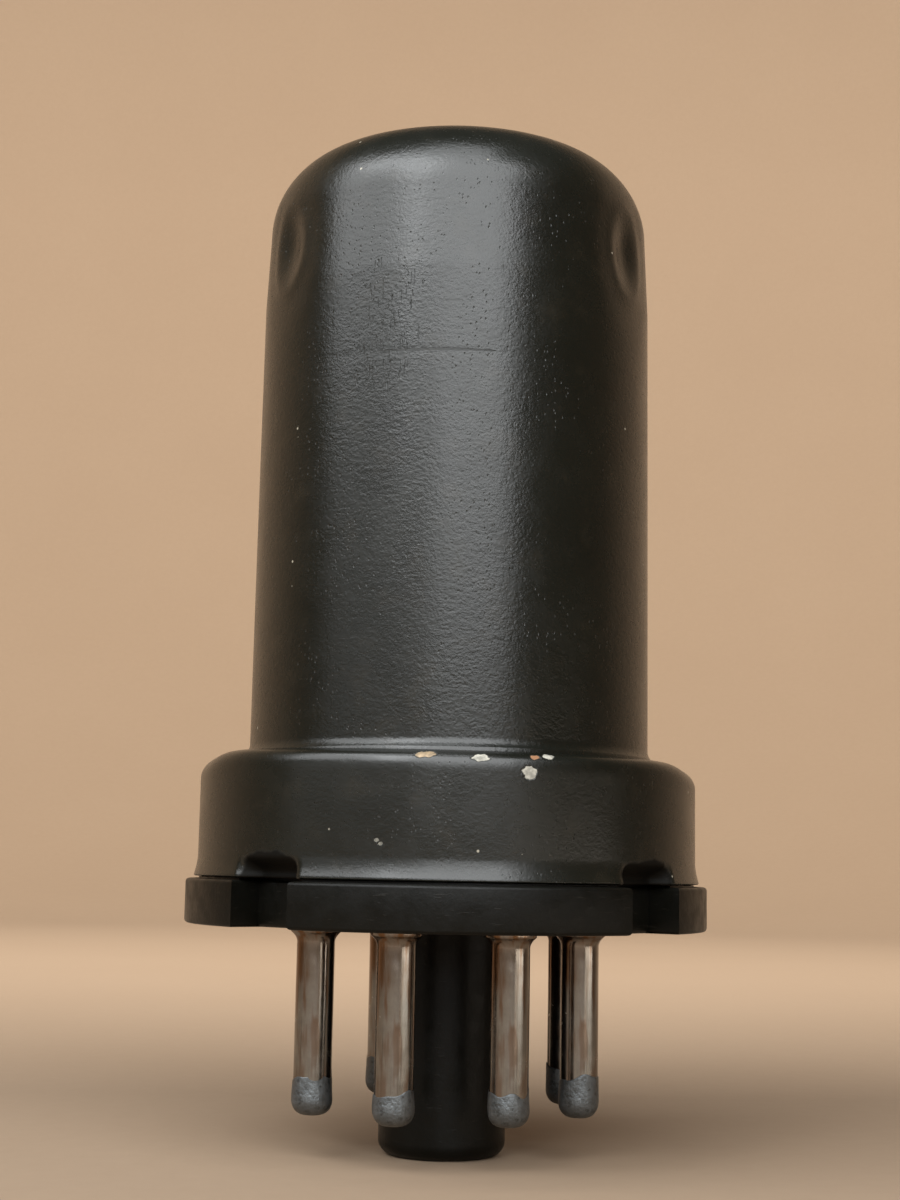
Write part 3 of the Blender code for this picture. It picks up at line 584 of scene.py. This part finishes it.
def collar_moves(radius, angle, height):
    """Square the roll at the front, fold in the four crimps and lean the whole skirt."""
    width, rise = COLLAR_ROLL
    across = np.maximum((radius - COLLAR_RADIUS + width) / width, 1e-6)
    up = np.maximum((height - COLLAR_HIGH + rise) / rise, 0.0)
    full, none = COLLAR_SQUARE_ANGLES
    front = 1 - smooth_step((np.abs(angle_to(angle, CAMERA_ROUND)) - full) / (none - full))
    power = 2 + COLLAR_SQUARENESS * front
    fuller = np.hypot(across, up) / (across**power + up**power) ** (1 / power)
    rolled = up > 0
    radius = np.where(rolled, COLLAR_RADIUS - width + width * across * fuller, radius)
    height = np.where(rolled, COLLAR_HIGH - rise + rise * up * fuller, height)
    moved = radius + 0.02 * MM * ripple(angle, height, 5, 8, 7, 12 * MM)
    low = smooth_step((COLLAR_LOW + CRIMP_HEIGHT - height) / MM)
    for target in NOTCH_ANGLES:
        off = np.abs(angle_to(angle, target)) * radius
        near = 1 - smooth_step((off - CRIMP_HALF_WIDTH) / (0.6 * MM))
        moved = moved - CRIMP_DEPTH * low * near
    lip = np.exp(-(((radius - COLLAR_LIP) / (0.8 * MM)) ** 2)) * (height > COLLAR_HIGH - 1 * MM)
    raised = height - 0.03 * MM * lip * (1 + ripple(angle, height, 8, 7, 19, 50 * MM))
    lean = COLLAR_LEAN_FORWARD * np.cos(angle) + COLLAR_LEAN_RIGHT * np.sin(angle)
    raised = raised - lean * (height - COLLAR_LOW) / (COLLAR_HIGH - COLLAR_LOW)
    return moved, raised


def make_collar(material):
    skin = turned_mesh("collar_skirt", collar_profile(), 320, collar_moves, closed=True)
    part_of_tube(skin, material, "collar")


def around_notches(quarter):
    """Repeat one quarter's points, given as sideways and outward places, at every notch."""
    path = []
    for notch in NOTCH_ANGLES:
        path += [(math.hypot(side, out), notch + math.atan2(side, out)) for side, out in quarter]
    return path


def notched_path(reach, floor, half):
    """A circle with four flat-floored notches, as radii and angles in order."""
    edge = math.sqrt(reach * reach - half * half)
    corner = math.asin(half / reach)
    quarter = [(-half, out) for out in np.linspace(edge, floor, WALL_STEPS + 1)]
    quarter += [(side, floor) for side in np.linspace(-half, half, FLOOR_STEPS + 1)[1:]]
    quarter += [(half, out) for out in np.linspace(floor, edge, WALL_STEPS + 1)[1:]]
    angles = np.linspace(corner, math.pi / 2 - corner, ARC_STEPS + 1)[1:-1]
    quarter += [(reach * math.sin(angle), reach * math.cos(angle)) for angle in angles]
    return around_notches(quarter)


def round_path(radius):
    """A plain circle with as many points as a notched path, packed where its notches are."""
    outside = math.radians(10.6)
    inside = math.radians(8.6)
    angles = list(np.linspace(-outside, -inside, WALL_STEPS + 1))
    angles += list(np.linspace(-inside, inside, FLOOR_STEPS + 1)[1:])
    angles += list(np.linspace(inside, outside, WALL_STEPS + 1)[1:])
    angles += list(np.linspace(outside, math.pi / 2 - outside, ARC_STEPS + 1)[1:-1])
    return around_notches([(radius * math.sin(a), radius * math.cos(a)) for a in angles])


def rounded_rim(turns, edge_centre):
    """The wafer's notched outline at each turn, in degrees, of a rounded edge."""
    rings = []
    for turn in np.radians(turns):
        shrink = RIM_EDGE * (1 - math.cos(turn))
        outline = (WAFER_RADIUS - shrink, NOTCH_FLOOR - shrink, NOTCH_HALF_WIDTH + shrink)
        rings.append((notched_path(*outline), edge_centre + RIM_EDGE * math.sin(turn)))
    return rings


def wafer_rings():
    """The flange as a stack of outlines: inner ring, step, rounded rim and flat underside."""
    step = 15.45 * MM
    step_top = WAFER_TOP + 0.1 * MM
    pocketed = notched_path(RING_OUTER, POCKET_FLOOR, POCKET_HALF_WIDTH)
    stepped = notched_path(step, POCKET_FLOOR, POCKET_HALF_WIDTH)
    stack = [(round_path(RING_INNER), WAFER_TOP), (round_path(RING_INNER), RING_TOP)]
    stack += [(pocketed, RING_TOP), (pocketed, step_top)]
    stack += [(stepped, step_top), (stepped, WAFER_TOP)]
    stack += rounded_rim((90, 67, 45, 22, 0), WAFER_TOP - RIM_EDGE)
    stack += rounded_rim((0, -22, -45, -67, -90), SEAT_HEIGHT + RIM_EDGE)
    stack += [(round_path(radius), SEAT_HEIGHT) for radius in (13.2 * MM, 11.0 * MM, 6.2 * MM)]
    return [[polar(radius, angle, height) for radius, angle in path] for path, height in stack]


def spigot_ring(base, height, key_height):
    """A circle with the key's rounded tongue pushed out of it."""
    points = []
    for _, angle in round_path(base):
        off = float(angle_to(angle, math.pi))
        radius = base
        across = math.sin(off) * KEY_REACH
        if abs(off) < 0.9 and key_height > 0:
            side = smooth_step((KEY_HALF_WIDTH + 0.16 * MM - abs(across)) / (0.32 * MM))
            tongue = KEY_REACH / max(math.cos(off), 0.5)
            radius = base + (tongue - base) * float(side) * key_height
        points.append(polar(radius, angle, height))
    return points


def spigot_rings():
    """The spigot from its fillet under the wafer to its rounded end, the key stopping short."""
    rings = []
    for turn in np.radians(np.linspace(90, 0, 5)):
        fillet = SPIGOT_RADIUS + SPIGOT_FILLET * (1 - math.cos(turn))
        rings.append(spigot_ring(fillet, SEAT_HEIGHT - SPIGOT_FILLET * (1 - math.sin(turn)), 1.0))
    for height in np.linspace(SEAT_HEIGHT - 1.2 * MM, SPIGOT_NOSE + 0.9 * MM, 14):
        rings.append(spigot_ring(SPIGOT_RADIUS, height, 1.0))
    key_low = SPIGOT_NOSE + 0.1 * MM
    for share in (0.85, 0.6, 0.3, 0.0):
        rings.append(spigot_ring(SPIGOT_RADIUS, key_low + 0.55 * MM * share, share**0.5))
    for turn in np.radians(np.linspace(0, -84, 9)):
        radius = SPIGOT_RADIUS - SPIGOT_NOSE * (1 - math.cos(turn))
        rings.append(spigot_ring(radius, SPIGOT_NOSE * (1 + math.sin(turn)), 0.0))
    rings.append(spigot_ring(1.6 * MM, 0.0, 0.0))
    return rings


def make_base(material):
    """Wafer, spigot and key as one moulding."""
    work = bmesh.new()
    rows = [[work.verts.new(point) for point in ring] for ring in wafer_rings() + spigot_rings()]
    tip = work.verts.new((0.0, 0.0, 0.0))
    count = len(rows[0])
    for upper, lower in zip(rows, rows[1:]):
        for index in range(count):
            after = (index + 1) % count
            work.faces.new((upper[index], lower[index], lower[after], upper[after]))
    for index in range(count):
        work.faces.new((rows[-1][index], tip, rows[-1][(index + 1) % count]))
    bmesh.ops.remove_doubles(work, verts=work.verts, dist=SAME_POINT)
    base = finish_mesh("base_moulding", work)
    base.data.set_sharp_from_angle(angle=math.radians(40))
    part_of_tube(base, material, "base_wafer")


def pin_profile(top, tip):
    """A pin's outside, from its head inside the base, past the swaged trumpet, to its tip."""
    head = 1.5 * MM
    bend = 0.1 * MM
    lip_low = SEAT_HEIGHT - SWAGE_LIP
    profile = [(0.0, top), (head, top), (head, top - 0.3 * MM)]
    profile += [(PIN_RADIUS, top - 0.4 * MM), (PIN_RADIUS, SEAT_HEIGHT + 0.2 * MM)]
    profile += [(SWAGE_RADIUS - 0.06 * MM, SEAT_HEIGHT - 0.01 * MM)]
    profile += arc((SWAGE_RADIUS - bend, SEAT_HEIGHT - 0.15 * MM), bend, 60, -10, 5)
    profile += line(profile[-1], (SWAGE_RADIUS - 0.01 * MM, lip_low), 3)
    for share in np.linspace(0, 1, 12)[1:]:
        reach = PIN_RADIUS + (SWAGE_RADIUS - PIN_RADIUS) * (1 - share) ** 2.2
        profile.append((reach, lip_low - (SWAGE_DEPTH - SWAGE_LIP) * share))
    profile += line(profile[-1], (PIN_RADIUS, tip + 1.3 * MM), 26)
    profile += arc((PIN_RADIUS - 0.5 * MM, tip + 1.2 * MM), 0.5 * MM, 0, -75, 8)
    profile += [(0.0, tip + 0.65 * MM)]
    return profile


def coat_profile(top, tip, low):
    """The tinned end: a thin skin that thickens downwards to a blunt rounded nose."""
    nose_radius = PIN_RADIUS + 0.075 * MM
    nose_top = tip + 0.8 * MM
    coat = [(0.0, top), (PIN_RADIUS - 0.06 * MM, top + 0.05 * MM), (PIN_RADIUS + 0.035 * MM, top)]
    coat += line(coat[-1], (nose_radius, tip + 1.0 * MM), 16)
    for turn in np.radians(np.linspace(0, -88, 14)):
        reach = nose_radius * max(math.cos(turn), 0.0) ** 0.6
        coat.append((reach, nose_top + (nose_top - low) * math.sin(turn)))
    coat.append((0.0, low + 0.01 * MM))
    return coat


def make_pin(number, plate, solder):
    """One swaged pin with its tinned end."""
    low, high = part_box(f"pin_{number}")
    at = (low + high) / 2
    source = np.random.default_rng(40 + number)
    tip_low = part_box(f"solder_tip_{number}")[0].z
    tin_top = low.z + source.uniform(1.65, 2.1) * MM
    lean = source.uniform(0, math.tau)

    def pin_moves(radii, angle, height):
        """Make the pin a little out of round, and its swaged rim ragged."""
        wobble = 0.01 * MM * ripple(angle, height, 60 + number, 6, 4, 6 * MM)
        ragged = 0.04 * MM * ripple(angle, 0 * height, 80 + number, 5, 7, 1.0)
        at_rim = np.exp(-(((height - SEAT_HEIGHT + 0.2 * MM) / (0.25 * MM)) ** 2)) * (radii > 1.3 * MM)
        return np.where(radii > 0.3 * MM, radii + wobble + ragged * at_rim, radii), height

    def coat_moves(radii, angle, height):
        """Make the solder lumpy, and its upper edge slanted and torn."""
        lumps = 0.03 * MM * ripple(angle, height, 100 + number, 8, 5, 1.8 * MM)
        torn = 0.22 * MM * ripple(angle, 0 * height, 120 + number, 6, 6, 1.0)
        upper = smooth_step((height - low.z - 1.0 * MM) / MM)
        slope = (0.25 * MM * np.cos(angle - lean) + torn) * upper
        return radii + lumps * smooth_step(radii / (0.5 * MM)), height + slope

    pin = turned_mesh(f"contact_pin_{number}", pin_profile(high.z, low.z), 48, pin_moves)
    part_of_tube(pin, plate, f"pin_{number}")
    tip = turned_mesh(f"solder_cap_{number}", coat_profile(tin_top, low.z, tip_low), 48, coat_moves)
    part_of_tube(tip, solder, f"solder_tip_{number}")
    for piece in (pin, tip):
        piece.location = (at.x, at.y, 0.0)


def crimp_centres():
    """The middle of each crimp, in millimetres."""
    radius = COLLAR_RADIUS / MM - 0.33
    height = COLLAR_LOW / MM + 0.15
    return [tuple(polar(radius, angle, height)) for angle in NOTCH_ANGLES]


def paint_chips():
    """Chips in the collar's enamel, most on its roll: a place, half sizes and a colour."""
    tan = (0.40, 0.29, 0.17)
    pale = (0.40, 0.38, 0.32)
    rust = (0.25, 0.12, 0.055)
    grey = (0.16, 0.15, 0.12)
    return [
        (surface_point(15.35, -5.0, 23.76), (0.72, 0.50, 0.22), tan),
        (surface_point(15.40, 6.5, 23.63), (0.58, 0.50, 0.24), pale),
        (surface_point(15.33, 18.4, 23.74), (0.34, 0.34, 0.20), rust),
        (surface_point(15.25, 21.4, 23.80), (0.42, 0.42, 0.18), pale),
        (surface_point(15.50, 17.2, 22.90), (0.54, 0.50, 0.42), pale),
        (surface_point(15.53, -14.5, 18.98), (0.18, 0.20, 0.14), grey),
        (surface_point(15.53, -13.7, 18.80), (0.18, 0.20, 0.14), grey),
        (surface_point(14.4, 118.0, 24.10), (0.60, 0.60, 0.24), tan),
        (surface_point(15.2, 151.0, 23.40), (0.50, 0.50, 0.30), pale),
        (surface_point(14.3, -141.0, 24.20), (0.50, 0.50, 0.25), rust),
        (surface_point(15.7, -97.0, 17.30), (0.50, 0.50, 0.26), tan),
    ]


def dress_inner_pieces():
    """The pieces sealed in the shell keep their CAD shape and get a real finish."""
    steel = plain_metal("sheet_steel", (0.32, 0.32, 0.33), (0.55, 0.55, 0.56), (0.28, 0.45), (2, 2, 2))
    copper = plain_metal("soft_copper", (0.45, 0.20, 0.11), (0.74, 0.42, 0.27), (0.25, 0.42), (8, 8, 0.4))
    nickel = plain_metal("drawn_nickel", (0.42, 0.40, 0.36), (0.66, 0.63, 0.58), (0.25, 0.42), (9, 9, 0.5))
    sheath = plain_metal("copper_sheath", (0.42, 0.27, 0.18), (0.66, 0.50, 0.38), (0.3, 0.5), (6, 6, 0.8))
    black = plain_metal("carbon_black", (0.02, 0.02, 0.02), (0.07, 0.07, 0.07), (0.65, 0.85), (5, 5, 5), 0.3)
    glass = pressed_glass()
    mica = split_mica()
    oxide = sprayed_oxide()
    finishes = {
        steel: ["header", "stem_shield", "mount_post_1", "mount_post_2"],
        copper: ["exhaust_tube"],
        nickel: [
            "control_grid",
            "screen_grid",
            "suppressor_grid",
            "anode_rod_1",
            "anode_rod_2",
            "getter_cup",
            "getter_wire",
        ],
        sheath: [f"lead_{number}" for number in PIN_NUMBERS],
        black: ["anode"],
        glass: ["stem_glass"],
        mica: ["lower_mica", "upper_mica"],
        oxide: ["cathode", "heater"],
    }
    for material, names in finishes.items():
        for name in names:
            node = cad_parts[name]
            node.data.materials.clear()
            node.data.materials.append(material)


# ---------------------------------------------------------------- studio


def make_sweep():
    """A round pale sweep: floor, curve and wall in one turned surface."""
    floor_radius = 0.42
    curve = 0.30
    height = 0.95
    profile = [(floor_radius + curve, height), (floor_radius + curve, curve)]
    profile += arc((floor_radius, curve), curve, 0, -90, 24)[1:]
    profile += line(profile[-1], (0.06, 0.0), 6) + [(0.0, 0.0)]
    sweep = turned_mesh("studio_sweep", profile, 128)
    sweep.data.flip_normals()
    tree = Tree("pale_paper")
    fibre = tree.noise(0.6, 4.0, 0.6)
    cloud = tree.noise(0.02, 3.0)
    base = tree.mix(fibre, (0.275, 0.196, 0.130), (0.305, 0.220, 0.148))
    base = tree.stain(base, cloud, 0.35, (0.25, 0.172, 0.110))
    sweep.data.materials.append(tree.finish(base, 0.85, tree.bump(fibre, 0.03 * MM)))


def area_light(name, place_at, aim, size, radiance, colour):
    """A rectangle of light of the given brightness, turned towards a point."""
    data = bpy.data.lights.new(name, "AREA")
    data.shape = "RECTANGLE"
    data.size, data.size_y = size
    data.energy = radiance * math.pi * size[0] * size[1]
    data.color = colour
    light = bpy.data.objects.new(name, data)
    light.location = place_at
    light.rotation_euler = (aim - place_at).to_track_quat("-Z", "Y").to_euler()
    light.visible_camera = False
    bpy.context.scene.collection.objects.link(light)


def light_from(name, azimuth, elevation, distance, spread, radiance, colour):
    """A light seen from the tube in a direction round the camera's side, with its angular size."""
    middle = Vector((0, 0, TUBE_TOP * 0.6))
    turn = math.radians(azimuth) + CAMERA_ROUND
    rise = math.radians(elevation)
    away = polar(distance * math.cos(rise), turn, distance * math.sin(rise))
    size = [2 * distance * math.tan(math.radians(angle / 2)) for angle in spread]
    area_light(name, middle + away, middle, size, radiance, colour)


def make_lights():
    """One big soft window that stops short of overhead, a low strip for the pins, a lit wall."""
    cool = (0.95, 0.98, 1.0)
    warm = (1.0, 0.93, 0.82)
    light_from("window_left", -52, 38, 0.30, (50, 42), 4.3, cool)
    light_from("window_middle", 1, 38, 0.30, (58, 42), 5.9, cool)
    light_from("window_right", 10, 12, 0.35, (42, 13), 3.6, cool)
    light_from("window_low", -20, 6, 0.35, (108, 11), 0.9, cool)
    top = Vector((-0.029, -0.037, TUBE_TOP + 0.06))
    area_light("window_top", top, top - Vector((0, 0, 1)), (0.092, 0.026), 3.8, cool)
    strip = polar(0.15, CAMERA_ROUND + math.radians(52), 6 * MM)
    area_light("table_strip", strip, Vector((0, 0, 6 * MM)), (0.13, 0.006), 5.5, warm)
    behind = Vector((0, 0.03, 0.33))
    area_light("wall_light", behind, behind + Vector((0, 1, 0)), (0.7, 0.12), 31.0, (1.0, 0.96, 0.9))
    world = bpy.data.worlds.new("studio_world")
    world.use_nodes = True
    background = world.node_tree.nodes["Background"]
    background.inputs["Color"].default_value = (1.0, 0.95, 0.88, 1.0)
    background.inputs["Strength"].default_value = 0.06
    bpy.context.scene.world = world
    bpy.context.scene.view_settings.view_transform = "Standard"


def make_camera():
    """The photograph's view, turned, tilted and rolled as the constants say."""
    data = bpy.data.cameras.new("photo_view")
    data.lens = CAMERA_LENS
    data.sensor_width = 36
    data.clip_start = 0.005
    camera = bpy.data.objects.new("photo_view", data)
    bpy.context.scene.collection.objects.link(camera)
    turn = Matrix.Rotation(CAMERA_ROUND, 3, "Z")
    forward = turn @ Vector((0, math.cos(CAMERA_TILT), math.sin(CAMERA_TILT)))
    right = turn @ Vector((1, 0, 0))
    up = turn @ Vector((0, -math.sin(CAMERA_TILT), math.cos(CAMERA_TILT)))
    rolled_right = math.cos(CAMERA_ROLL) * right + math.sin(CAMERA_ROLL) * up
    rolled_up = -math.sin(CAMERA_ROLL) * right + math.cos(CAMERA_ROLL) * up
    pose = Matrix((rolled_right, rolled_up, -forward)).transposed().to_4x4()
    spot = turn @ Vector((CAMERA_ASIDE, -CAMERA_DISTANCE, CAMERA_HEIGHT))
    camera.matrix_world = Matrix.Translation(spot) @ pose
    bpy.context.scene.camera = camera


def main():
    make_camera()
    scratched = (surface_point(12.35, -19.0, 49.2), (2.1, 2.1, 4.0))
    make_shell(enamel("shell_enamel", 0.050 * MM, scratched))
    # The crimp centres place the painted shade in the collar's crimps.
    make_collar(enamel("collar_enamel", 0.022 * MM, shaded_crimps=crimp_centres(), chips=paint_chips()))
    make_base(phenolic())
    plate = plated_pin()
    solder = tinned()
    for number in PIN_NUMBERS:
        make_pin(number, plate, solder)
    dress_inner_pieces()
    make_sweep()
    make_lights()


main()
bpy.context.view_layer.update()
